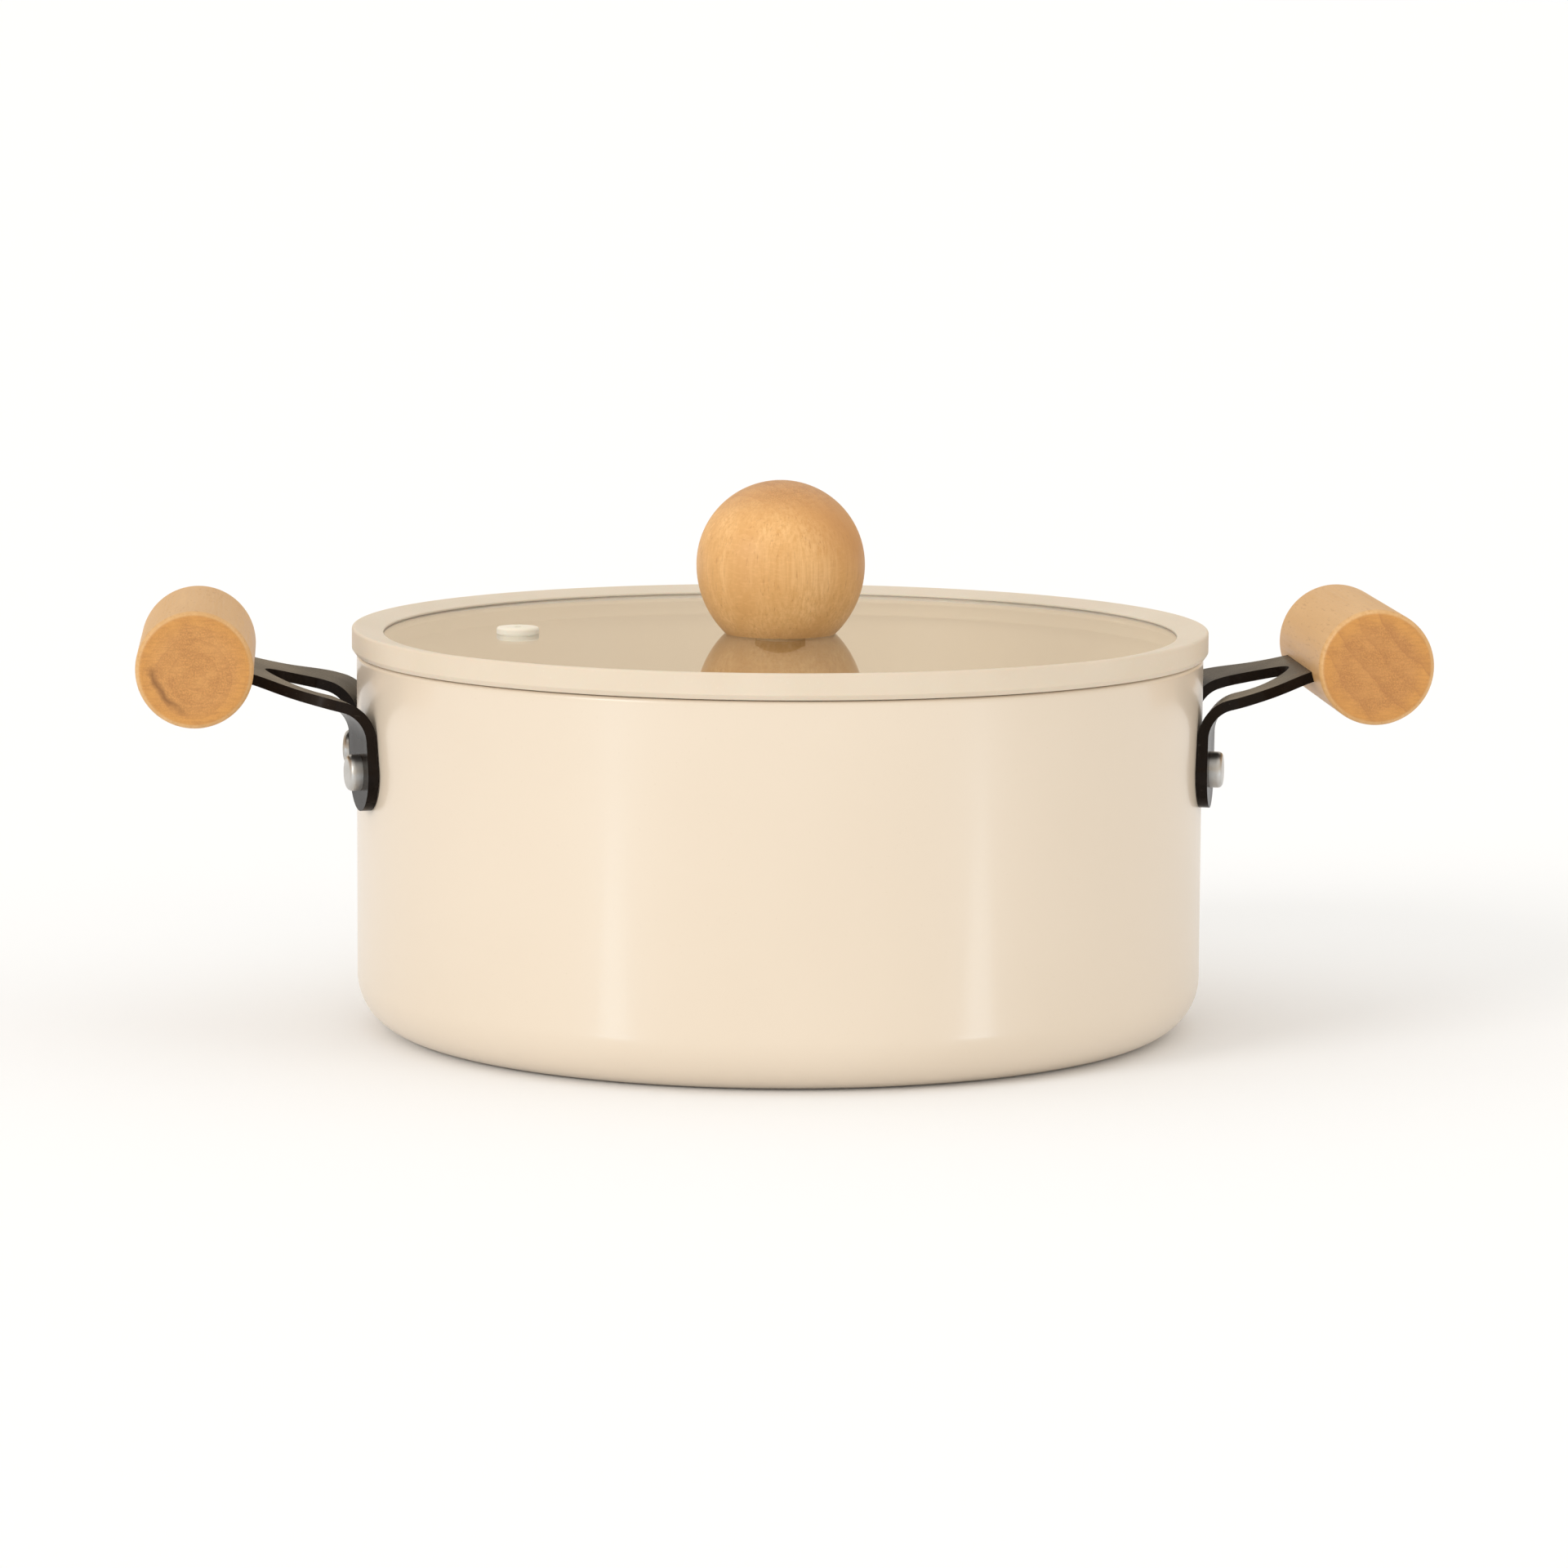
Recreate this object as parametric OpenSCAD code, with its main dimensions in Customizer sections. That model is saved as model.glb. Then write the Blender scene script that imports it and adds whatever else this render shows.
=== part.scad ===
// Low two-handled saucepan with a flat glass lid, a ball knob and cross-bar grips.
// Origin on the base at the pan's axis, +X through the right grip, +Z up, millimetres.

/* [Pan] */
// Outer radius of the straight wall
pan_r = 122.5; // [100:0.5:142]
// Height from the base to the lip
pan_h = 109; // [90:1:150]
// Thickness of the side wall
wall = 2.5; // [2:0.1:3]
// Thickness of the bottom
floor_t = 3.6; // [3:0.1:6]
// Radius between the wall and the bottom, outside
corner_r = 16; // [12:0.5:24]
// Radius of the steel plate set in the underside
plate_r = 86; // [50:1:86]
// Thickness of the steel plate
plate_t = 1.2; // [0.8:0.1:1.4]

/* [Brackets] */
// Thickness of the stamped steel
steel_t = 3; // [2:0.1:3.5]
// Upward slope of the forked plate, in degrees
slope = 15; // [8:0.5:18]
// Width of the plate where it enters the wood
neck_w = 45; // [40:0.5:52]
// Angle of each foot round the pan from the handle's middle
foot_angle = 13.3; // [12.5:0.1:15]
// Width of a foot
foot_w = 22; // [20:0.5:24]
// How far each foot leans outwards towards its lower end, in degrees
foot_lean = 9; // [0:1:12]
// Height of the lower end of a foot above the base
foot_low = 67; // [55:0.5:72]
// Height of the rivets above the base
rivet_z = 78; // [74:0.2:80]
// Inner radius of the bend above each foot
bend_r = 8.5; // [6:0.5:10.5]

/* [Grips] */
// Diameter of a grip
grip_d = 33.4; // [30:0.2:36]
// Length of a grip
grip_l = 76; // [70:1:110]
// Distance of a grip's axis from the wall of the pan
grip_reach = 46; // [44:0.5:52]
// How far a grip's axis lies below the pan's lip
grip_drop = 0.7; // [-2:0.1:3]
// Rounding of a grip's ends
grip_round = 2; // [1:0.1:3]

/* [Rivets and screws] */
// Diameter of a rivet's outer head
rivet_head_d = 10.4; // [9:0.1:12]
// Height of a rivet's outer head
rivet_head_h = 3.6; // [2:0.1:4]
// Diameter of a rivet's shank
rivet_d = 6; // [4:0.1:7]
// Diameter of a grip screw's shank
screw_d = 4; // [3:0.1:5]
// Distance between the two screws of a grip
screw_gap = 26; // [20:1:30]

/* [Lid] */
// Thickness of the glass
glass_t = 4; // [3.5:0.1:4.5]
// How far the silicone rim stands out past the pan's wall
rim_over = 1.4; // [0.8:0.1:2.5]
// Width of the rim's top face, from the outside to the glass
rim_w = 9.1; // [8:0.1:12]
// Height of the rim's outer edge above the pan's lip
rim_h = 7.9; // [7.5:0.1:9]
// How far the glass lies below the rim's outer edge
glass_drop = 2.3; // [1.8:0.1:2.6]
// How far the rim's inner edge stands above the glass
rim_step = 0.6; // [0.4:0.1:0.9]
// Depth of the skirt that centres the lid in the pan
skirt_h = 5; // [3:0.1:7]
// Radius of the ball knob
knob_r = 24.4; // [22.5:0.1:28]
// Height of the ball's centre above the glass
knob_lift = 20; // [15:0.1:21]
// How much fuller the ball's lower half is than a true ball
knob_full = 3.5; // [0.5:0.5:6]
// Distance of the steam vent from the lid's middle
vent_reach = 76; // [50:0.5:88]
// Direction of the steam vent, in degrees from the right grip
vent_turn = 179; // [0:1:359]

/* [Hidden] */
$fn = 96;
seat_gap = 0.3;
slide_gap = 0.6;
lid_z = pan_h + seat_gap;
rim_r = pan_r + rim_over;
rim_top = pan_h + rim_h;
glass_top = rim_top - glass_drop;
glass_low = glass_top - glass_t;
glass_r = rim_r - rim_w + 3.5;
lip_r = wall / 2;
inner_r = pan_r - wall;
skirt_r = inner_r - slide_gap;
skirt_w = 2.4;

grip_x = pan_r + grip_reach;
grip_z = pan_h - grip_drop;
tang_end = 8;
foot_taper = 0.07;
tongue_low = foot_low + foot_w / 2 - rivet_z;
step = 0.02;
foot_t = steel_t - 2 * step;
bend_mid = bend_r + steel_t / 2;
lean = asin(sin(slope) * cos(foot_angle));
twist = atan(tan(slope) * sin(foot_angle));
bend_cut = bend_mid * (1 - sin(lean)) / cos(lean);
arm_x = pan_r + steel_t / 2 + bend_cut * cos(lean);
fold_z = grip_z - (grip_x - (pan_r + steel_t / 2) * cos(foot_angle)) * tan(slope);
neck_x = grip_x - grip_d / 2 + 0.8;
slot_x = grip_x - grip_d / 2 - 2.4;

head_d = 8;
head_h = 2.6;
head_sink = 2.4;
bush_t = 1.4;
washer_t = 1.8;
knob_head_h = 2.2;
knob_screw_d = 5;
insert_d = 8;
insert_l = 14;
vent_d = 12.3;
vent_neck_d = 8;

// A half section with one rounded corner, at its outer top.
module rounded_half(r, h, e) {
    square([r - e, h]);
    square([r, h - e]);
    translate([r - e, h - e]) circle(e);
}

// Half section of a cup's outline, with a rounded lower corner.
module cup_half(r, h, e) {
    square([r - e, h]);
    translate([0, e]) square([r, h - e]);
    translate([r - e, e]) circle(e);
}

// Aluminium pan, coated inside and out, with a half-round lip.
module pot_shell() {
    color([0.95, 0.89, 0.79])
    difference() {
        rotate_extrude() {
            difference() {
                cup_half(pan_r, pan_h - lip_r, corner_r);
                translate([0, floor_t]) cup_half(inner_r, pan_h, corner_r - wall);
            }
            translate([pan_r - lip_r, pan_h - lip_r]) circle(lip_r);
        }
        translate([0, 0, -1]) cylinder(r = plate_r, h = plate_t + 1);
        for (s = [0, 180], a = [-foot_angle, foot_angle])
            rotate([0, 0, s + a]) rivet_hole();
    }
}

// Steel disc that lets the pan work on an induction hob, with shallow turned grooves.
module induction_plate() {
    color([0.72, 0.72, 0.72])
    rotate_extrude() difference() {
        square([plate_r, plate_t]);
        for (r = [plate_r / 4 : plate_r / 4 : plate_r * 0.9])
            translate([r, 0]) circle(r = 0.4, $fn = 24);
    }
}

module rivet_hole() {
    translate([inner_r - 4, 0, rivet_z]) rotate([0, 90, 0]) cylinder(d = rivet_d, h = 14);
}

// A point in plan, given in a foot's own directions: out from the pan and along its wall.
function at_foot(x, y) = [
    x * cos(foot_angle) - y * sin(foot_angle),
    x * sin(foot_angle) + y * cos(foot_angle)
];
function curve(a, b, c, d, n) = [
    for (i = [0 : n]) let (t = i / n, u = 1 - t)
        u * u * u * a + 3 * u * u * t * b + 3 * u * t * t * c + t * t * t * d
];
function flip(points) = [for (i = [len(points) - 1 : -1 : 0]) [points[i][0], -points[i][1]]];

// Plan of the forked plate: a straight neck and two legs that spread to the feet.
root_x = arm_x + 0.2;
leg_x = arm_x + 2;
leg_rise = fold_z + (leg_x - pan_r) * tan(lean) - rivet_z;
leg_mid = -leg_rise * tan(foot_lean);
leg_half = (foot_w / 2 - foot_taper * leg_rise) / cos(foot_lean) + 0.15;
outer_edge = concat(
    [[grip_x + tang_end, neck_w / 2]],
    curve([neck_x, neck_w / 2], [neck_x - 5, neck_w / 2 + 0.6],
        at_foot(leg_x + 6, leg_mid + leg_half - 1), at_foot(leg_x, leg_mid + leg_half), 10),
    [at_foot(root_x, leg_mid + leg_half)]
);
inner_edge = concat(
    [at_foot(root_x, leg_mid - leg_half)],
    curve(at_foot(leg_x, leg_mid - leg_half), at_foot(leg_x + 6, leg_mid - leg_half - 1),
        [slot_x, 7], [slot_x, 0], 12)
);
fork = concat(outer_edge, inner_edge, flip(concat(outer_edge, inner_edge)));

// Section of a foot, its bend and a tongue that runs on into the sloping plate.
function bend(r, from, to, n) = [
    for (i = [0 : n]) let (a = from + (to - from) * i / n)
        [steel_t / 2 + bend_mid - r * cos(a), r * sin(a) - bend_cut]
];
module foot_section() {
    sweep = 90 - lean;
    reach = bend_cut + 4;
    arm = [steel_t / 2 + reach * cos(lean), reach * sin(lean)];
    across = foot_t / 2 * [-sin(lean), cos(lean)];
    polygon(concat(
        [[step, foot_low - fold_z - 20]],
        bend(bend_mid + foot_t / 2, 0, sweep, 14),
        [arm + across, arm - across],
        bend(bend_mid - foot_t / 2, sweep, 0, 14),
        [[step + foot_t, foot_low - fold_z - 20]]
    ));
}

// One foot, tangent to the pan: the section run along the fold, cut to a round-ended tongue.
module foot(s) {
    rotate([0, 0, s * foot_angle]) intersection() {
        translate([pan_r, 0, fold_z]) rotate([-s * twist, 0, 0]) rotate([90, 0, 0])
            linear_extrude(foot_w + 16, center = true) foot_section();
        translate([pan_r - 1, 0, 0]) rotate([90, 0, 90]) linear_extrude(leg_x - pan_r + 0.4)
            translate([0, rivet_z]) rotate(s * foot_lean) {
                translate([0, tongue_low]) circle(d = foot_w);
                polygon([
                    [-foot_w / 2, tongue_low], [foot_w / 2, tongue_low],
                    [foot_w / 2 - foot_taper * 60, 60], [foot_taper * 60 - foot_w / 2, 60]
                ]);
            }
    }
}

module screw_place(s) {
    translate([grip_x, s * screw_gap / 2, grip_z]) rotate([0, -slope, 0]) children();
}

module bracket() {
    difference() {
        union() {
            intersection() {
                translate([grip_x, 0, grip_z]) rotate([0, -slope, 0])
                    cube([160, 120, steel_t], center = true);
                linear_extrude(pan_h + 60) polygon(fork);
            }
            for (s = [-1, 1]) foot(s);
        }
        for (s = [-1, 1]) {
            rotate([0, 0, s * foot_angle]) rivet_hole();
            screw_place(s) cylinder(d = screw_d, h = 20, center = true);
        }
    }
}

// Solid rivet: domed outer head, shank through the foot and the wall, flat inner head.
module rivet() {
    translate([0, 0, rivet_z]) rotate([0, 90, 0]) {
        translate([0, 0, pan_r + steel_t]) rotate_extrude()
            rounded_half(rivet_head_d / 2, rivet_head_h, rivet_head_h * 0.4);
        translate([0, 0, inner_r - 1]) cylinder(d = rivet_d, h = wall + steel_t + 1.5);
        translate([0, 0, inner_r - 0.16]) mirror([0, 0, 1]) rotate_extrude()
            rounded_half(rivet_d * 0.92, 1.6, 0.7);
    }
}

// Turned beech bar across the handle, slotted for the plate and drilled for its screws.
module grip() {
    difference() {
        translate([grip_x, 0, grip_z]) rotate([90, 0, 0]) rotate_extrude() {
            rounded_half(grip_d / 2, grip_l / 2, grip_round);
            mirror([0, 1]) rounded_half(grip_d / 2, grip_l / 2, grip_round);
        }
        intersection() {
            translate([grip_x, 0, grip_z]) rotate([0, -slope, 0])
                cube([80, 120, steel_t], center = true);
            translate([grip_x - 25, -neck_w / 2, 0]) cube([25 + tang_end, neck_w, 300]);
        }
        for (s = [-1, 1]) screw_place(s) screw_solid(0.01);
    }
}

// Pan-head wood screw put in from below, through the plate.
module screw_solid(extra) {
    low = -grip_d / 2 + head_sink;
    translate([0, 0, low]) cylinder(d = screw_d, h = grip_d / 2 + 8 - head_sink);
    translate([0, 0, low]) cylinder(d = head_d + 2 * extra, h = head_h);
    if (extra > 0) translate([0, 0, low - 12]) cylinder(d = head_d + 2 * extra, h = 12 + head_h);
}

module grip_screw(s) {
    difference() {
        screw_place(s) screw_solid(0);
        screw_place(s) translate([0, 0, -grip_d / 2 + head_sink]) {
            cube([head_d * 0.6, 1, 2.4], center = true);
            cube([1, head_d * 0.6, 2.4], center = true);
        }
    }
}

// Flat toughened glass with a middle hole for the knob and a small one for the vent.
module lid_glass() {
    color([0.85, 0.83, 0.76, 0.35])
    translate([0, 0, glass_low]) difference() {
        rotate_extrude() {
            square([glass_r - 0.6, glass_t]);
            translate([0, 0.6]) square([glass_r, glass_t - 1.2]);
            for (z = [0.6, glass_t - 0.6]) translate([glass_r - 0.6, z]) circle(0.6);
        }
        translate([0, 0, -1]) cylinder(d = insert_d, h = glass_t + 2);
        vent_place() translate([0, 0, -1]) cylinder(d = vent_neck_d, h = glass_t + 2);
    }
}

// Silicone ring: a groove round the glass, a sloping top, a step on the lip and a skirt.
module lid_rim() {
    rim_in = rim_r - rim_w;
    under = lid_z - 0.9;
    color([0.94, 0.88, 0.79])
    rotate_extrude() difference() {
        union() {
            polygon([
                [rim_in + 0.7, under], [skirt_r - 0.5, under], [skirt_r - 0.5, lid_z],
                [rim_r - 1, lid_z], [rim_r, lid_z + 1.4],
                [rim_r, rim_top - 0.7], [rim_r - 0.9, rim_top - 0.12],
                [rim_in + 0.4, glass_top + rim_step], [rim_in, glass_top + rim_step - 0.3],
                [rim_in, under + 0.7]
            ]);
            translate([rim_r - 0.7, rim_top - 0.7]) circle(0.7);
            translate([skirt_r - skirt_w, lid_z - skirt_h]) square([skirt_w, skirt_h + 0.5]);
        }
        translate([0, glass_low]) square([glass_r, glass_t]);
    }
}

module vent_place() {
    rotate([0, 0, vent_turn]) translate([vent_reach, 0, 0]) children();
}

// Push-through silicone grommet with a fine steam hole.
module steam_vent() {
    color([0.97, 0.94, 0.88])
    vent_place() difference() {
        union() {
            translate([0, 0, glass_top]) rotate_extrude() rounded_half(vent_d / 2, 1.9, 0.8);
            translate([0, 0, glass_low - 0.5]) cylinder(d = vent_neck_d, h = glass_t + 1);
            translate([0, 0, glass_low]) mirror([0, 0, 1])
                rotate_extrude() rounded_half(5.2, 1.4, 0.6);
        }
        translate([0, 0, glass_low - 5]) cylinder(d = 2.2, h = glass_t + 10, $fn = 32);
    }
}

// Turned beech ball, a little fuller below its middle and cut flat where it sits on the glass.
module knob() {
    color([0.86, 0.67, 0.44])
    translate([0, 0, glass_top]) rotate_extrude() difference() {
        union() {
            intersection() {
                translate([0, knob_lift]) circle(knob_r);
                translate([0, knob_lift]) square([2 * knob_r, 2 * knob_r]);
            }
            intersection() {
                translate([-knob_full, knob_lift]) circle(knob_r + knob_full);
                square([2 * knob_r, knob_lift]);
            }
        }
        translate([0, -1]) square([insert_d / 2, insert_l + 1]);
        translate([0, -1]) square([knob_screw_d / 2, insert_l + 2]);
    }
}

// Brass threaded insert pressed into the ball.
module knob_insert() {
    color([0.78, 0.62, 0.32])
    translate([0, 0, glass_top]) difference() {
        cylinder(d = insert_d, h = insert_l);
        translate([0, 0, -1]) cylinder(d = knob_screw_d, h = insert_l + 2);
    }
}

// Silicone bush that keeps the screw off the glass.
module knob_bush() {
    color([0.92, 0.90, 0.86])
    difference() {
        union() {
            translate([0, 0, glass_low]) cylinder(d = insert_d, h = glass_t);
            translate([0, 0, glass_low - bush_t]) cylinder(d = 13.6, h = bush_t);
        }
        translate([0, 0, glass_low - 5]) cylinder(d = knob_screw_d + 0.2, h = glass_t + 10);
    }
}

// Steel washer under the bush.
module knob_washer() {
    color([0.75, 0.75, 0.75])
    translate([0, 0, glass_low - bush_t - washer_t]) difference() {
        cylinder(d = 14.6, h = washer_t);
        translate([0, 0, -1]) cylinder(d = knob_screw_d + 0.2, h = washer_t + 2);
    }
}

// Dome-head machine screw that holds the knob, cross recess downwards.
module knob_screw() {
    low = glass_low - bush_t - washer_t;
    color([0.70, 0.70, 0.70])
    difference() {
        union() {
            translate([0, 0, low]) cylinder(d = knob_screw_d, h = glass_top - low + insert_l);
            translate([0, 0, low]) mirror([0, 0, 1]) rotate_extrude() intersection() {
                square([6.4, knob_head_h]);
                translate([0, knob_head_h - 12]) circle(12);
            }
        }
        translate([0, 0, low - knob_head_h]) {
            cube([6, 1.1, 2.4], center = true);
            cube([1.1, 6, 2.4], center = true);
        }
    }
}

BLACK = [0.10, 0.09, 0.09];
STEEL = [0.74, 0.74, 0.73];
BEECH = [0.87, 0.69, 0.47];

pot_shell();
induction_plate();
color(BLACK) mirror([1, 0, 0]) bracket();  // left_bracket
color(BLACK) bracket();  // right_bracket
color(STEEL) rotate([0, 0, 180 + foot_angle]) rivet();  // left_near_rivet
color(STEEL) rotate([0, 0, 180 - foot_angle]) rivet();  // left_far_rivet
color(STEEL) rotate([0, 0, -foot_angle]) rivet();  // right_near_rivet
color(STEEL) rotate([0, 0, foot_angle]) rivet();  // right_far_rivet
color(BEECH) mirror([1, 0, 0]) grip();  // left_grip
color(BEECH) grip();  // right_grip
color(STEEL) mirror([1, 0, 0]) grip_screw(-1);  // left_near_screw
color(STEEL) mirror([1, 0, 0]) grip_screw(1);  // left_far_screw
color(STEEL) grip_screw(-1);  // right_near_screw
color(STEEL) grip_screw(1);  // right_far_screw
lid_glass();
lid_rim();
steam_vent();
knob();
knob_insert();
knob_bush();
knob_washer();
knob_screw();
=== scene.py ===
"""A low two-handled saucepan with a flat glass lid, on a plain pale floor."""

import math

import bmesh
import bpy
from mathutils import Matrix, Vector


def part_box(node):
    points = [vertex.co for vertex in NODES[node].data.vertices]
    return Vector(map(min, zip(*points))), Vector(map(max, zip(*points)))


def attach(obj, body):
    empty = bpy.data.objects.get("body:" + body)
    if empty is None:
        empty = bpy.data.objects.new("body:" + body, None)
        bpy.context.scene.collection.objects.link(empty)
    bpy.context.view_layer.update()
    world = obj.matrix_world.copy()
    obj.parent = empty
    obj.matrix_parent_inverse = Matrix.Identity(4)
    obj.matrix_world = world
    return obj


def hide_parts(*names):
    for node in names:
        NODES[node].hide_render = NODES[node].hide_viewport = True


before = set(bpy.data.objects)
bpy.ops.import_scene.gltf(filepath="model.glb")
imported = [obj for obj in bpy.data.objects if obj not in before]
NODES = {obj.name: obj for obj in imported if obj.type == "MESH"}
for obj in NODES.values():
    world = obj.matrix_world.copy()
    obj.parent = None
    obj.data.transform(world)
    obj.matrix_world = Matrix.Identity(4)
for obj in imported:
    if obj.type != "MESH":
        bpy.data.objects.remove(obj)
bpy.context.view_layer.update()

# Sizes that the frame's boxes give, in metres.
PAN_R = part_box("pot_shell")[1][0]
GRIP_LOW, GRIP_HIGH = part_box("right_grip")
GRIP_X = (GRIP_LOW[0] + GRIP_HIGH[0]) / 2
GRIP_Z = (GRIP_LOW[2] + GRIP_HIGH[2]) / 2
GRIP_R = (GRIP_HIGH[0] - GRIP_LOW[0]) / 2
RIVET_LOW, RIVET_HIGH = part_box("right_near_rivet")
RIVET_Z = (RIVET_LOW[2] + RIVET_HIGH[2]) / 2
TANG_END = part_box("right_bracket")[1][0]
PAN_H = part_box("pot_shell")[1][2]
PLATE_R, _, PLATE_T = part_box("induction_plate")[1]
RIM_R, _, RIM_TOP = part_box("lid_rim")[1]
GLASS_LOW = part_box("lid_glass")[0][2]
GLASS_R, _, GLASS_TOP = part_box("lid_glass")[1]

# Beech: light, middle, dark and end-grain colours.
KNOB_TINTS = ((0.840, 0.505, 0.215), (0.690, 0.365, 0.125), (0.430, 0.185, 0.058),
              (0.560, 0.285, 0.105))
GRIP_TINTS = ((0.665, 0.405, 0.182), (0.600, 0.340, 0.132), (0.350, 0.150, 0.048))
LEFT_END = (0.545, 0.262, 0.080)
RIGHT_END = (0.500, 0.232, 0.068)

# The oil is orange along the edge of a grip's end.
GRIP_EDGE = (0.600, 0.285, 0.066)

# Painted shade: the knob darkens and reddens towards its right and its top, away from the key light:
# the colour, how fast, and from what height.
KNOB_PAINTED_SHADE = (0.530, 0.245, 0.072)
KNOB_PAINTED_SHADE_RIGHT = 34.0
KNOB_PAINTED_SHADE_UP = 30.0
KNOB_PAINTED_SHADE_FROM_Z = 0.140

# The pan's thicknesses and its lower corner.
WALL = 0.0025
FLOOR_T = 0.0036
CORNER_R = 0.016

# Flat steps round a turned piece.
LATHE_STEPS = 288

# The bracket's own dimensions, in metres and radians.
STEEL_T = 0.003
SLOPE = math.radians(15)
NECK_W = 0.045
FOOT_ANGLE = math.radians(13.3)
FOOT_W = 0.022
FOOT_LEAN = math.radians(9)
FOOT_TAPER = 0.07
FOOT_LOW = 0.067
BEND_R = 0.0085

# Faces across half of the bracket, and rows of them along its leg, fold and tongue.
ACROSS = 8
LEG_ROWS = 30
NECK_ROWS = 4
FOLD_ROWS = 16
TONGUE_ROWS = 4
ARC_ROWS = 12

# The view of the photograph: the camera stands a little to the left of the handles' square-on view.
CAMERA_DISTANCE = 1.80
CAMERA_HEIGHT = 0.30601
CAMERA_TURN = 4.321
CAMERA_PITCH = 7.4554
CAMERA_YAW = 0.0433
CAMERA_ROLL = 0.3583
CAMERA_LENS = 143.32


# ---------------------------------------------------------------- material helpers

def node(tree, kind, inputs=None, **props):
    """A new node, with its properties set and its inputs given values or linked."""
    made = tree.nodes.new(kind)
    for name, value in props.items():
        setattr(made, name, value)
    for name, value in (inputs or {}).items():
        if isinstance(value, bpy.types.NodeSocket):
            tree.links.new(value, made.inputs[name])
        else:
            made.inputs[name].default_value = value
    return made


def calc(tree, operation, *values):
    """The output of a Math node."""
    return node(tree, "ShaderNodeMath", dict(enumerate(values)), operation=operation).outputs[0]


def ramp(tree, value, *stops):
    """A Color Ramp's colour output, from (place, colour) stops."""
    made = node(tree, "ShaderNodeValToRGB", {"Fac": value})
    elements = made.color_ramp.elements
    while len(elements) < len(stops):
        elements.new(1.0)
    for element, (place, colour) in zip(elements, stops):
        element.position = place
        element.color = (*colour, 1.0) if len(colour) == 3 else colour
    return made.outputs["Color"]


def grey(value):
    return (value, value, value)


def mix(tree, factor, a, b):
    """The colour output of a Mix node."""
    made = node(tree, "ShaderNodeMix", data_type="RGBA")
    for name, value in (("Factor", factor), ("A", a), ("B", b)):
        socket = next(s for s in made.inputs if s.name == name and s.enabled)
        if isinstance(value, bpy.types.NodeSocket):
            tree.links.new(value, socket)
        else:
            socket.default_value = (*value, 1.0) if isinstance(value, tuple) else value
    return next(s for s in made.outputs if s.enabled)


def noise(tree, place, scale, detail=3.0, roughness=0.5):
    """A noise texture's value; scale is in features a metre."""
    return node(tree, "ShaderNodeTexNoise", {
        "Vector": place, "Scale": scale, "Detail": detail, "Roughness": roughness,
    }).outputs["Fac"]


def bump(tree, height, strength, distance):
    return node(tree, "ShaderNodeBump", {
        "Height": height, "Strength": strength, "Distance": distance}).outputs["Normal"]


def start_material(name):
    """A material with an empty Principled surface: (material, tree, shader, object coordinates)."""
    material = bpy.data.materials.new(name)
    material.use_nodes = True
    tree = material.node_tree
    tree.nodes.clear()
    shader = node(tree, "ShaderNodeBsdfPrincipled")
    node(tree, "ShaderNodeOutputMaterial", {"Surface": shader.outputs[0]})
    place = node(tree, "ShaderNodeTexCoord").outputs["Object"]
    return material, tree, shader, place


def connect(tree, shader, **inputs):
    """Links or sets a shader's inputs; an underscore in a name stands for a space."""
    for name, value in inputs.items():
        socket = shader.inputs[name.replace("_", " ")]
        if isinstance(value, bpy.types.NodeSocket):
            tree.links.new(value, socket)
        elif isinstance(value, tuple):
            socket.default_value = (*value, 1.0)
        else:
            socket.default_value = value


# ---------------------------------------------------------------- materials

def coating_material():
    """Glossy cream ceramic coating: very faint mottling, orange peel and a few fine specks."""
    material, tree, shader, place = start_material("cream_coating")
    cloud = noise(tree, place, 14, detail=2)
    speck = noise(tree, place, 1700, detail=1)
    base = ramp(tree, cloud, (0.30, (0.688, 0.584, 0.462)), (0.70, (0.704, 0.600, 0.478)))
    specks = ramp(tree, speck, (0.72, grey(0.0)), (0.80, grey(0.22)))
    colour = mix(tree, specks, base, (0.56, 0.44, 0.31))
    wipe = noise(tree, place, 9, detail=2)
    peel = noise(tree, place, 380, detail=1)
    connect(
        tree, shader, Base_Color=colour,
        Roughness=node(tree, "ShaderNodeMapRange", {
            "Value": wipe, "From Min": 0.25, "From Max": 0.75, "To Min": 0.30, "To Max": 0.36,
        }).outputs[0],
        Coat_Weight=0.35, Coat_Roughness=0.12, IOR=1.45,
        Normal=bump(tree, peel, 0.05, 0.0003),
    )
    return material


def silicone_material(name, light, dark):
    """Moulded silicone: matte, a little translucent, with a fine grain and dust."""
    material, tree, shader, place = start_material(name)
    cloud = noise(tree, place, 35, detail=4)
    grain = noise(tree, place, 2600, detail=2)
    dust = noise(tree, place, 900, detail=3)
    base = ramp(tree, cloud, (0.3, dark), (0.7, light))
    colour = mix(tree, ramp(tree, dust, (0.66, grey(0.0)), (0.74, grey(0.08))), base, (1.0, 0.97, 0.9))
    connect(
        tree, shader, Base_Color=colour,
        Roughness=node(tree, "ShaderNodeMapRange", {
            "Value": grain, "From Min": 0.3, "From Max": 0.7, "To Min": 0.50, "To Max": 0.66,
        }).outputs[0],
        Subsurface_Weight=0.12, Subsurface_Scale=0.003, IOR=1.42, Sheen_Weight=0.08,
        Normal=bump(tree, grain, 0.10, 0.0002),
    )
    return material


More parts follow.
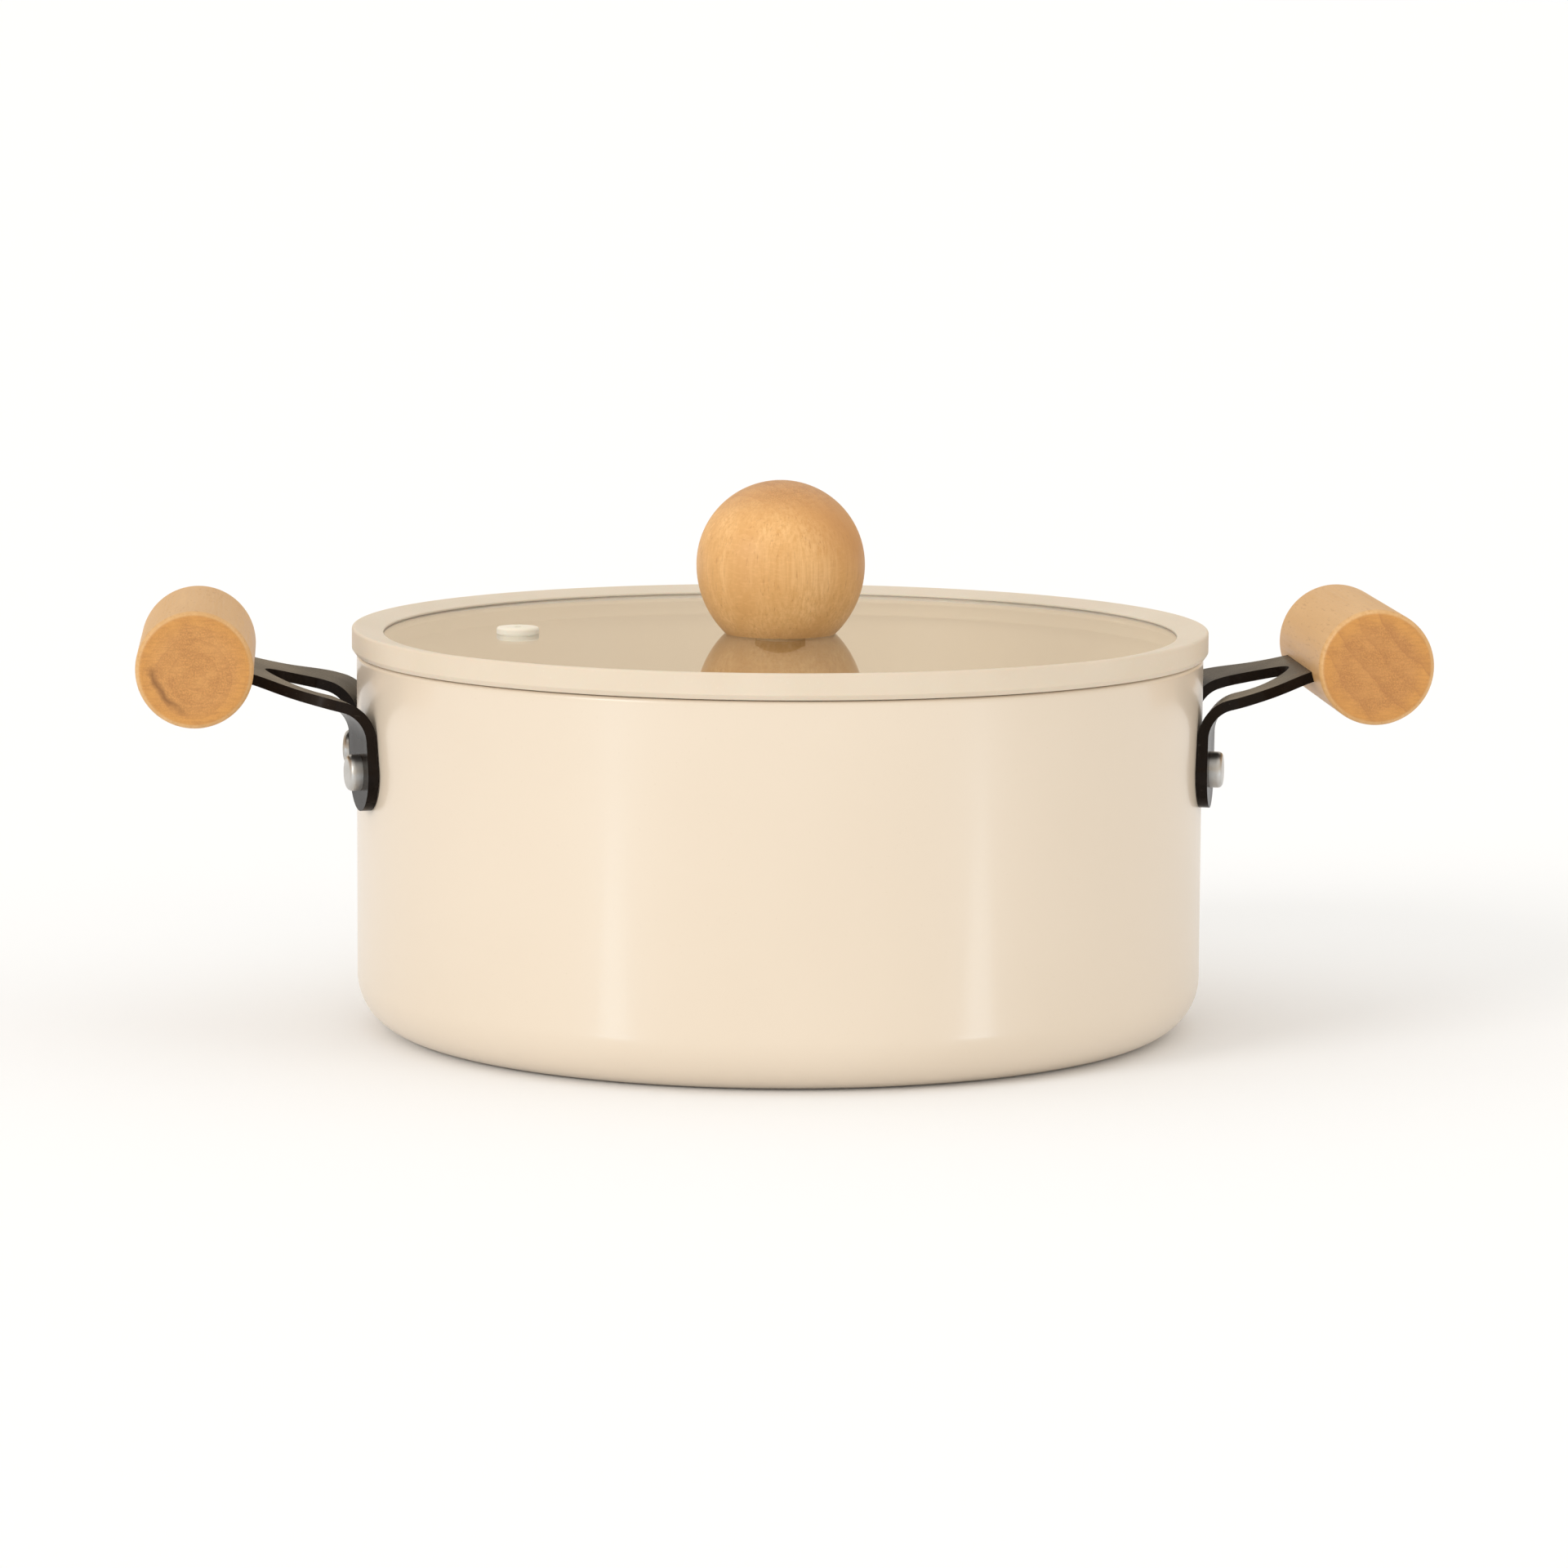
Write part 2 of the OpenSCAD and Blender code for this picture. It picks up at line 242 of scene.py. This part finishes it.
def wood_material(name, along, pith, tints, end_start, ring_width=0.0035, rings=0.6,
                  dark_ring=None):
    """Oiled beech. along is the grain's axis (0, 1 or 2) and pith a point on the tree's middle.

    tints are the light, middle, dark and end-grain colours. end_start is how squarely a face
    must cross the grain before it looks like end grain. dark_ring is (centre, radius,
    direction): an arc of dark heartwood seen in the end grain.
    """
    material, tree, shader, place = start_material(name)
    light, middle, dark, end_tint = tints

    def offset_from(point):
        """Distances from a point: the two axes across the grain."""
        moved = node(tree, "ShaderNodeMapping", {
            "Vector": place, "Location": [-v for v in point]}, vector_type="POINT").outputs[0]
        axes = node(tree, "ShaderNodeSeparateXYZ", {"Vector": moved}).outputs
        return [axes[i] for i in range(3) if i != along]

    def length(pair):
        return calc(tree, "SQRT", calc(tree, "ADD", calc(tree, "POWER", pair[0], 2.0),
                                       calc(tree, "POWER", pair[1], 2.0)))

    def stretched(cross, lengthways, offset=0.0):
        scale = [cross] * 3
        scale[along] = lengthways
        return node(tree, "ShaderNodeMapping", {
            "Vector": place, "Scale": scale, "Location": (offset, offset, offset),
        }, vector_type="POINT").outputs[0]

    # Growth rings round the pith, wavering slowly along the grain; no two are equally dark.
    waver = noise(tree, stretched(60, 12, 3.1), 1.0, detail=3)
    turns = calc(tree, "ADD", calc(tree, "DIVIDE", length(offset_from(pith)), ring_width),
                 calc(tree, "MULTIPLY", waver, 1.6))
    phase = calc(tree, "FRACT", turns)
    year = noise(tree, node(tree, "ShaderNodeCombineXYZ", {
        "X": calc(tree, "FLOOR", turns)}).outputs[0], 2.7, detail=1)
    late = ramp(tree, phase, (0.0, grey(0.25)), (0.10, grey(0.0)), (0.55, grey(0.15)),
                (0.88, grey(0.60)), (0.97, grey(1.0)))
    ring = calc(tree, "MULTIPLY", late, ramp(tree, year, (0.35, grey(0.25)), (0.65, grey(1.0))))

    # Fibres, pores and the short dark flecks of beech, and the cross ripple of its rays.
    fibre = noise(tree, stretched(950, 34), 1.0, detail=5, roughness=0.72)
    streak = noise(tree, stretched(120, 9, 7.7), 1.0, detail=4)
    fleck = noise(tree, stretched(1500, 190, 1.3), 1.0, detail=2, roughness=0.5)
    ripple = noise(tree, stretched(520, 1500, 4.4), 1.0, detail=3)

    base = ramp(tree, streak, (0.34, middle), (0.60, light))
    base = mix(tree, calc(tree, "MULTIPLY", ring, 0.35), base, middle)
    base = mix(tree, ramp(tree, fibre, (0.38, grey(1.0)), (0.60, grey(0.0))), base, middle)
    base = mix(tree, ramp(tree, ripple, (0.50, grey(0.0)), (0.66, grey(0.17))), base,
               tuple(min(1.0, c * 1.10 + 0.02) for c in light))
    if along == 2:  # the knob, whose grain stands upright
        # Painted shade: the knob's colour darkens and reddens towards its right and its top.
        axes = node(tree, "ShaderNodeSeparateXYZ", {"Vector": place}).outputs
        height = calc(tree, "SUBTRACT", axes["Z"], KNOB_PAINTED_SHADE_FROM_Z)
        knob_shade_mask = calc(tree, "ADD", calc(tree, "MULTIPLY", axes["X"], KNOB_PAINTED_SHADE_RIGHT),
                   calc(tree, "ADD", calc(tree, "MULTIPLY", height, KNOB_PAINTED_SHADE_UP),
                        calc(tree, "MULTIPLY", streak, 0.5)))
        base = mix(tree, ramp(tree, knob_shade_mask, (0.50, grey(0.0)), (1.05, grey(0.85))), base, KNOB_PAINTED_SHADE)
    flecks = ramp(tree, fleck, (0.61, grey(0.0)), (0.72, grey(0.36)))
    base = mix(tree, flecks, base, dark)

    # End grain drinks the oil: it is darker and redder, with the rings showing strongly.
    facing = node(tree, "ShaderNodeSeparateXYZ", {
        "Vector": node(tree, "ShaderNodeTexCoord").outputs["Normal"]}).outputs[along]
    end = node(tree, "ShaderNodeMapRange", {
        "Value": calc(tree, "ABSOLUTE", facing), "From Min": end_start, "From Max": 0.99,
    }, interpolation_type="SMOOTHSTEP").outputs[0]
    pores = noise(tree, place, 2400, detail=2)
    blotch = noise(tree, place, 190, detail=4)
    deep = tuple(c * 0.80 for c in end_tint)
    end_base = mix(tree, ramp(tree, pores, (0.38, grey(0.0)), (0.66, grey(1.0))), deep,
                   tuple(c * 1.10 for c in end_tint))
    end_base = mix(tree, ramp(tree, blotch, (0.40, grey(0.0)), (0.66, grey(0.55))), end_base,
                   tuple(c * f for c, f in zip(end_tint, (1.14, 1.20, 1.26))))
    if along == 1:  # a grip
        centre = (math.copysign(GRIP_X, pith[0]), 0.0, GRIP_Z)
        out = calc(tree, "DIVIDE", length(offset_from(centre)), GRIP_R)
        edge = ramp(tree, calc(tree, "ADD", out, calc(tree, "MULTIPLY", blotch, 0.3)),
                    (0.78, grey(0.0)), (1.02, grey(0.55)))
        end_base = mix(tree, edge, end_base, GRIP_EDGE)
    hatch = noise(tree, node(tree, "ShaderNodeMapping", {
        "Vector": place, "Scale": (260, 1, 1500)}).outputs[0], 1.0, detail=3)
    end_base = mix(tree, ramp(tree, hatch, (0.45, grey(0.0)), (0.68, grey(0.35))), end_base, dark)
    end_base = mix(tree, calc(tree, "MULTIPLY", ring, rings), end_base, dark)
    if dark_ring:
        centre, radius, direction = dark_ring
        pair = offset_from(centre)
        rough = calc(tree, "MULTIPLY", calc(tree, "SUBTRACT", blotch, 0.5), 0.004)
        gap = calc(tree, "ABSOLUTE", calc(
            tree, "SUBTRACT", calc(tree, "ADD", length(pair), rough), radius))
        band = ramp(tree, calc(tree, "DIVIDE", gap, 0.0016), (0.0, grey(1.0)), (1.0, grey(0.0)))
        toward = calc(tree, "ADD", calc(tree, "MULTIPLY", pair[0], direction[0] / radius),
                      calc(tree, "MULTIPLY", pair[1], direction[1] / radius))
        arc = node(tree, "ShaderNodeMapRange", {
            "Value": toward, "From Min": 0.68, "From Max": 0.98}, interpolation_type="SMOOTHSTEP")
        heart = calc(tree, "MULTIPLY", band, arc.outputs[0])
        end_base = mix(tree, calc(tree, "MULTIPLY", heart, 0.85), end_base,
                       tuple(c * 0.62 for c in dark))
    colour = mix(tree, end, base, end_base)

    relief = calc(tree, "SUBTRACT", calc(tree, "MULTIPLY", fibre, 0.6), flecks)
    connect(
        tree, shader, Base_Color=colour,
        Roughness=node(tree, "ShaderNodeMapRange", {
            "Value": fibre, "From Min": 0.3, "From Max": 0.7, "To Min": 0.36, "To Max": 0.52,
        }).outputs[0],
        IOR=1.40, Normal=bump(tree, relief, 0.22, 0.0003),
    )
    return material


def black_steel_material():
    """Black enamel on stamped steel: warm, satin, with rubbed patches and fine scratches."""
    material, tree, shader, place = start_material("black_enamel")
    cloud = noise(tree, place, 70, detail=4)
    grain = noise(tree, place, 1500, detail=2)
    scratch = noise(tree, node(tree, "ShaderNodeMapping", {
        "Vector": place, "Scale": (300, 2600, 900)}).outputs[0], 1.0, detail=2)
    colour = ramp(tree, cloud, (0.3, (0.006, 0.0040, 0.0032)), (0.7, (0.013, 0.0090, 0.0070)))
    colour = mix(tree, ramp(tree, scratch, (0.68, grey(0.0)), (0.76, grey(0.30))), colour,
                 (0.10, 0.085, 0.07))
    connect(
        tree, shader, Base_Color=colour,
        Roughness=node(tree, "ShaderNodeMapRange", {
            "Value": cloud, "From Min": 0.3, "From Max": 0.7, "To Min": 0.22, "To Max": 0.32,
        }).outputs[0],
        IOR=1.12, Specular_Tint=(1.0, 0.80, 0.64), Coat_Weight=0.10, Coat_Roughness=0.10,
        Normal=bump(tree, grain, 0.08, 0.0002),
    )
    return material


def metal_material(name, tint, low, high):
    """Worked bare metal: fine marks, with patches of roughness from low to high."""
    material, tree, shader, place = start_material(name)
    marks = noise(tree, place, 900)
    patch = noise(tree, place, 160, detail=4)
    colour = mix(tree, ramp(tree, patch, (0.35, grey(0.0)), (0.7, grey(0.35))),
                 tint, tuple(c * 0.72 for c in tint))
    connect(
        tree, shader, Base_Color=colour, Metallic=1.0,
        Roughness=node(tree, "ShaderNodeMapRange", {
            "Value": patch, "From Min": 0.3, "From Max": 0.7, "To Min": low, "To Max": high,
        }).outputs[0],
        Normal=bump(tree, marks, 0.15, 0.0002),
    )
    return material


def turned_steel_material():
    """The underside plate: steel turned on a lathe, with fine rings and hob marks."""
    material, tree, shader, place = start_material("turned_steel")
    axes = node(tree, "ShaderNodeSeparateXYZ", {"Vector": place}).outputs
    far = calc(tree, "SQRT", calc(
        tree, "ADD", calc(tree, "POWER", axes[0], 2.0), calc(tree, "POWER", axes[1], 2.0)))
    rings = noise(tree, node(tree, "ShaderNodeCombineXYZ", {"X": far}).outputs[0], 2600, detail=3)
    stain = noise(tree, place, 40, detail=5)
    colour = mix(tree, ramp(tree, stain, (0.45, grey(0.0)), (0.75, grey(0.5))),
                 (0.60, 0.59, 0.57), (0.42, 0.38, 0.33))
    connect(
        tree, shader, Base_Color=colour, Metallic=1.0,
        Roughness=node(tree, "ShaderNodeMapRange", {
            "Value": rings, "From Min": 0.3, "From Max": 0.7, "To Min": 0.28, "To Max": 0.46,
        }).outputs[0],
        Normal=bump(tree, rings, 0.35, 0.0002),
    )
    return material


def glass_material():
    """Clear toughened glass with faint wipe marks; it lets lamps reach what is behind it."""
    material, tree, shader, place = start_material("clear_glass")
    wipe = noise(tree, place, 45, detail=5)
    connect(
        tree, shader, Base_Color=(0.985, 0.985, 0.965), Transmission_Weight=1.0, IOR=1.5,
        Roughness=ramp(tree, wipe, (0.55, grey(0.0)), (0.85, grey(0.03))),
        Normal=bump(tree, noise(tree, place, 9, detail=1), 0.02, 0.0005),
    )
    output = next(n for n in tree.nodes if n.type == "OUTPUT_MATERIAL")
    clear = node(tree, "ShaderNodeBsdfTransparent", {"Color": (0.88, 0.85, 0.78, 1.0)})
    ray = node(tree, "ShaderNodeLightPath").outputs["Is Shadow Ray"]
    both = node(tree, "ShaderNodeMixShader", {0: ray, 1: shader.outputs[0], 2: clear.outputs[0]})
    tree.links.new(both.outputs[0], output.inputs["Surface"])
    return material


# ---------------------------------------------------------------- mesh helpers

def make_object(name, bm, material, body):
    """Turns a bmesh into a piece that rides on a CAD body."""
    mesh = bpy.data.meshes.new(name)
    bmesh.ops.recalc_face_normals(bm, faces=bm.faces)
    bm.to_mesh(mesh)
    bm.free()
    mesh.materials.append(material)
    for face in mesh.polygons:
        face.use_smooth = True
    piece = bpy.data.objects.new(name, mesh)
    bpy.context.scene.collection.objects.link(piece)
    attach(piece, body)
    return piece


def rounded(corners):
    """A profile's points, from (r, z, rounding) corners; arcs get close neighbours on the straights."""
    points = [Vector(c[:2]) for c in corners]
    made = []
    for i, (corner, (_, _, radius)) in enumerate(zip(points, corners)):
        if radius == 0:
            made.append(corner)
            continue
        back, on = points[i - 1] - corner, points[(i + 1) % len(points)] - corner
        half = back.angle(on) / 2
        reach = radius / math.tan(half)
        spares = [0.0002 if v.length - 2 * reach > 0.0006 else 0 for v in (back, on)]
        back.normalize()
        on.normalize()
        centre = corner + (back + on).normalized() * (radius / math.sin(half))
        start, end = corner + back * reach, corner + on * reach
        steps = max(4, int(4 + radius * 1500))
        if spares[0]:
            made.append(start + back * spares[0])
        for k in range(steps + 1):
            made.append(centre + (start - centre).slerp(end - centre, k / steps) * radius)
        if spares[1]:
            made.append(end + on * spares[1])
    return made


def lathe(name, corners, closed, material, body):
    """A turned piece that replaces a CAD node; an open profile starts and ends on the axis."""
    bm = bmesh.new()
    turns = [2 * math.pi * k / LATHE_STEPS for k in range(LATHE_STEPS)]
    rings = []
    for r, z in rounded(corners):
        if r < 1e-7:
            rings.append([bm.verts.new((0, 0, z))] * LATHE_STEPS)
        else:
            rings.append([bm.verts.new((r * math.cos(t), r * math.sin(t), z)) for t in turns])
    pairs = list(zip(rings, rings[1:])) + ([(rings[-1], rings[0])] if closed else [])
    for low, high in pairs:
        for k in range(LATHE_STEPS):
            corners_of = [low[k - 1], low[k], high[k], high[k - 1]]
            bm.faces.new([v for n, v in enumerate(corners_of) if v not in corners_of[:n]])
    piece = make_object(name, bm, material, body)
    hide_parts(name)


def curve(a, b, c, d, t):
    """A point of a cubic curve in plan."""
    u = 1 - t
    return a * u ** 3 + b * 3 * u * u * t + c * 3 * u * t * t + d * t ** 3


def bracket_half_rows():
    """Rows of points over one half of the bracket's middle surface, from the wood to a foot."""
    middle = BEND_R + STEEL_T / 2
    lean = math.asin(math.sin(SLOPE) * math.cos(FOOT_ANGLE))
    cut = middle * (1 - math.sin(lean)) / math.cos(lean)
    wall_x = PAN_R + STEEL_T / 2
    leg_x = wall_x + cut * math.cos(lean) + 0.002
    fold_z = GRIP_Z - (GRIP_X - wall_x * math.cos(FOOT_ANGLE)) * math.tan(SLOPE)
    turned = Matrix.Rotation(FOOT_ANGLE, 3, "Z")
    neck_x = GRIP_X - GRIP_R + 0.0008
    slot_x = GRIP_X - GRIP_R - 0.0024
    rows = []

    def on_plate(p):
        """The plate slopes with x at the neck and squarely to the foot's fold at the pan."""
        flat = GRIP_Z + (p[0] - GRIP_X) * math.tan(SLOPE)
        out = p[0] * math.cos(FOOT_ANGLE) + p[1] * math.sin(FOOT_ANGLE)
        level = fold_z + (out - wall_x) * math.tan(lean)
        t = min(1.0, max(0.0, (neck_x - p[0]) / (neck_x - leg_x)))
        smooth = t * t * (3 - 2 * t)
        return Vector((p[0], p[1], flat + (level - flat) * smooth))

    def plan(x, y):
        return (turned @ Vector((x, y, 0))).to_2d()

    def edges(z):
        """The two edges of the foot at a height: it leans and narrows upwards."""
        rise = z - RIVET_Z
        half = (FOOT_W / 2 - FOOT_TAPER * rise) / math.cos(FOOT_LEAN)
        return -rise * math.tan(FOOT_LEAN) - half, -rise * math.tan(FOOT_LEAN) + half

    def between(a, b, place):
        return [place(a.lerp(b, i / ACROSS)) for i in range(ACROSS + 1)]

    for t in (0.0, 0.5, 1.0):
        x = TANG_END + (neck_x - TANG_END) * t
        rows.append(between(Vector((x, 0)), Vector((x, NECK_W / 2)), on_plate))
    low, high = edges(fold_z + (leg_x - wall_x) * math.tan(lean))
    outer = (Vector((neck_x, NECK_W / 2)), Vector((neck_x - 0.005, NECK_W / 2 + 0.0006)),
             plan(leg_x + 0.006, high - 0.001), plan(leg_x, high))
    inner = (Vector((slot_x, 0)), Vector((slot_x, 0.007)),
             plan(leg_x + 0.006, low - 0.001), plan(leg_x, low))
    for i in range(1, LEG_ROWS + 1):
        if i <= NECK_ROWS:
            near = Vector((neck_x + (slot_x - neck_x) * i / NECK_ROWS, 0))
        else:
            near = curve(*inner, (i - NECK_ROWS) / (LEG_ROWS - NECK_ROWS))
        rows.append(between(near, curve(*outer, i / LEG_ROWS), on_plate))

    sweep = math.pi / 2 - lean
    for i in range(FOLD_ROWS + 1):
        a = sweep * (1 - i / FOLD_ROWS)
        u = STEEL_T / 2 + middle - middle * math.cos(a)
        z = fold_z + middle * math.sin(a) - cut
        low, high = edges(z)
        rows.append([turned @ Vector((PAN_R + u, low + (high - low) * k / ACROSS, z))
                     for k in range(ACROSS + 1)])

    # Straight down the wall, then round the tongue's end, in the leaning foot's own frame.
    top, end = z - RIVET_Z, FOOT_LOW + FOOT_W / 2 - RIVET_Z
    for i in range(1, TONGUE_ROWS + ARC_ROWS + 1):
        a = math.pi / 2 * max(0, i - TONGUE_ROWS) / ARC_ROWS
        down = top + (end - top) * min(i, TONGUE_ROWS) / TONGUE_ROWS - FOOT_W / 2 * math.sin(a)
        half = (FOOT_W / 2 - FOOT_TAPER * max(down, end)) * math.cos(a)
        if i < TONGUE_ROWS:
            low, high = edges(RIVET_Z + down)
            row = [(low + (high - low) * k / ACROSS, down) for k in range(ACROSS + 1)]
        else:
            spread = [half * (2 * k / ACROSS - 1) for k in range(ACROSS + 1)]
            row = [(y * math.cos(FOOT_LEAN) - down * math.sin(FOOT_LEAN),
                    y * math.sin(FOOT_LEAN) + down * math.cos(FOOT_LEAN)) for y in spread]
        rows.append([turned @ Vector((wall_x, y, RIVET_Z + z)) for y, z in row])
    return rows


def bracket(name, side, material):
    """Forked bracket: one folded sheet, thickened, with rounded stamped edges."""
    bm = bmesh.new()
    for mirror in (1, -1):
        grid = [[bm.verts.new((side * p.x, mirror * p.y, p.z)) for p in row]
                for row in bracket_half_rows()]
        for low, high in zip(grid, grid[1:]):
            for i in range(len(low) - 1):
                corners = [low[i], low[i + 1], high[i + 1], high[i]]
                bm.faces.new(corners if mirror * side > 0 else corners[::-1])
    bmesh.ops.remove_doubles(bm, verts=bm.verts, dist=1e-6)
    piece = make_object(name, bm, material, "pot")
    thick = piece.modifiers.new("thickness", "SOLIDIFY")
    thick.thickness, thick.offset, thick.use_even_offset = STEEL_T, 0.0, True
    rounding = piece.modifiers.new("edges", "BEVEL")
    rounding.width, rounding.segments = 0.0006, 3
    rounding.limit_method, rounding.angle_limit = "ANGLE", math.radians(50)
    rounding.harden_normals = True
    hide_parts(name)


# ---------------------------------------------------------------- the object

coating = coating_material()
rim_silicone = silicone_material("rim_silicone", (0.675, 0.578, 0.458), (0.645, 0.548, 0.424))
vent_silicone = silicone_material("vent_silicone", (0.82, 0.76, 0.64), (0.78, 0.71, 0.58))
black = black_steel_material()
rivet_metal = metal_material("rivet_aluminium", (0.57, 0.56, 0.54), 0.30, 0.46)
screw_metal = metal_material("zinc_screw", (0.62, 0.62, 0.61), 0.24, 0.40)
brass = metal_material("plain_brass", (0.75, 0.52, 0.20), 0.25, 0.40)

NODE_MATERIALS = {
    "pot_shell": coating,
    "induction_plate": turned_steel_material(),
    "lid_glass": glass_material(),
    "lid_rim": rim_silicone,
    "steam_vent": vent_silicone,
    "knob_bush": vent_silicone,
    "knob_insert": brass,
    "knob": wood_material("knob_beech", 2, (0.050, 0.040, 0.0), KNOB_TINTS, 0.50),
    "left_grip": wood_material(
        "left_beech", 1, (-GRIP_X, 0.0, GRIP_Z - 0.002), (*GRIP_TINTS, LEFT_END), 0.80, rings=0.42,
        dark_ring=((-GRIP_X, 0.0, GRIP_Z), 0.0113, (-0.82, -0.57))),
    "right_grip": wood_material(
        "right_beech", 1, (GRIP_X + 0.056, 0.0, GRIP_Z + 0.045), (*GRIP_TINTS, RIGHT_END), 0.80,
        0.0062, 0.8),
}
for name, part in NODES.items():
    if name in NODE_MATERIALS:
        chosen = NODE_MATERIALS[name]
    elif "rivet" in name:
        chosen = rivet_metal
    elif "bracket" in name or name in ("knob_washer", "knob_screw"):
        chosen = black
    else:
        chosen = screw_metal
    part.data.materials.clear()
    part.data.materials.append(chosen)

bracket("right_bracket", 1, black)
bracket("left_bracket", -1, black)

# The pan: base, rounded corner, wall, half-round lip, and the same again inside.
inside_r = PAN_R - WALL
lathe("pot_shell", [
    (0, PLATE_T, 0), (PLATE_R, PLATE_T, 0.0002), (PLATE_R, 0, 0.0003), (PAN_R, 0, CORNER_R),
    (PAN_R, PAN_H, WALL / 2 - 1e-6), (inside_r, PAN_H, WALL / 2 - 1e-6),
    (inside_r, FLOOR_T, CORNER_R - WALL), (0, FLOOR_T, 0),
], False, coating, "pot")

# The lid's rim: inner step, sloping top, outer edge, skirt, and the groove for the glass.
seat, skirt_r, inner_r = PAN_H + 0.0003, inside_r - 0.0006, RIM_R - 0.0091
lathe("lid_rim", [
    (inner_r, GLASS_TOP, 0.0001), (inner_r, GLASS_TOP + 0.0006, 0.00035), (RIM_R, RIM_TOP, 0.0007),
    (RIM_R, seat + 0.0014, 0.0006), (RIM_R - 0.001, seat, 0.0003), (skirt_r, seat, 0.0003),
    (skirt_r, seat - 0.005, 0.0006), (skirt_r - 0.0024, seat - 0.005, 0.0006),
    (skirt_r - 0.0024, seat - 0.0009, 0.0003), (inner_r, seat - 0.0009, 0.0005),
    (inner_r, GLASS_LOW, 0.0001), (GLASS_R, GLASS_LOW, 0.0001), (GLASS_R, GLASS_TOP, 0.0001),
], True, rim_silicone, "lid")


# ---------------------------------------------------------------- floor, light and camera

def plain_floor():
    """A wide pale sweep, far past the view on every side."""
    bm = bmesh.new()
    bmesh.ops.create_grid(bm, x_segments=8, y_segments=8, size=60)
    mesh = bpy.data.meshes.new("floor")
    bm.to_mesh(mesh)
    bm.free()
    floor = bpy.data.objects.new("floor", mesh)
    bpy.context.scene.collection.objects.link(floor)
    material, tree, shader, _ = start_material("pale_floor")
    connect(tree, shader, Base_Color=(0.955, 0.965, 0.985), Roughness=0.8)
    mesh.materials.append(material)


def soft_sun(name, azimuth, elevation, strength, width, colour=(1.0, 1.0, 1.0),
             shows_on=("matt", "gloss")):
    """A broad soft light from far away. Azimuth 0 is the front (-Y) and 90 the right (+X).

    One that shows on gloss alone stands for a bright part of the floor: it is below the floor's
    level, so shadows are off.
    """
    light = bpy.data.lights.new(name, "SUN")
    light.energy, light.angle, light.color = strength * math.pi, math.radians(width), colour
    lamp = bpy.data.objects.new(name, light)
    lamp.visible_glossy = "gloss" in shows_on
    if "matt" not in shows_on:
        lamp.visible_diffuse = lamp.visible_transmission = False
        light.use_shadow = light.cycles.use_multiple_importance_sampling = False
    bpy.context.scene.collection.objects.link(lamp)
    turn, lift = math.radians(azimuth), math.radians(elevation)
    source = Vector((math.sin(turn) * math.cos(lift),
                     -math.cos(turn) * math.cos(lift), math.sin(lift)))
    lamp.rotation_euler = (-source).to_track_quat("-Z", "Y").to_euler()


def studio_world():
    """Soft light all round; polished surfaces see a sand-coloured room low down."""
    world = bpy.data.worlds.new("studio")
    bpy.context.scene.world = world
    world.use_nodes = True
    tree = world.node_tree
    tree.nodes.clear()
    axes = node(tree, "ShaderNodeSeparateXYZ", {
        "Vector": node(tree, "ShaderNodeTexCoord").outputs["Generated"]}).outputs
    room = ramp(tree, axes["Z"], (0.0, (0.80, 0.64, 0.46)), (0.22, (0.84, 0.69, 0.50)),
                (0.42, (0.98, 0.94, 0.88)))
    paths = node(tree, "ShaderNodeLightPath").outputs
    light = mix(tree, paths["Is Glossy Ray"], (0.945, 0.925, 0.885), room)
    seen = mix(tree, paths["Is Camera Ray"], light, (1.0, 1.0, 1.0))
    made = node(tree, "ShaderNodeBackground", {"Color": seen, "Strength": 1.0})
    node(tree, "ShaderNodeOutputWorld", {"Surface": made.outputs[0]})


def photo_camera():
    """The camera of the photograph's view, aimed by its turn, pitch, yaw and roll."""
    data = bpy.data.cameras.new("camera")
    data.lens, data.sensor_width = CAMERA_LENS, 36.0
    data.clip_end = 200.0
    camera = bpy.data.objects.new("camera", data)
    bpy.context.scene.collection.objects.link(camera)
    turn = Matrix.Rotation(-math.radians(CAMERA_TURN), 4, "Z")
    place = turn @ Matrix.Translation((0, -CAMERA_DISTANCE, CAMERA_HEIGHT))
    tilt = (Matrix.Rotation(-math.radians(CAMERA_YAW), 4, "Z")
            @ Matrix.Rotation(math.radians(90 - CAMERA_PITCH), 4, "X"))
    camera.matrix_world = place @ tilt @ Matrix.Rotation(math.radians(CAMERA_ROLL), 4, "Z")
    bpy.context.scene.camera = camera


plain_floor()
studio_world()
soft_sun("key", -52, 22, 0.28, 24)
soft_sun("front", 2, 5, 0.17, 40, shows_on=("matt",))
soft_sun("sheen_left", -49, -13.5, 0.045, 11, (0.55, 0.8, 1.0), shows_on=("gloss",))
soft_sun("sheen_right", 51, -13.5, 0.055, 11, (0.7, 0.85, 1.0), shows_on=("gloss",))
soft_sun("fill", 52, 22, 0.035, 18, (1.0, 0.92, 0.80), shows_on=("matt",))
photo_camera()
bpy.context.scene.view_settings.view_transform = "Standard"
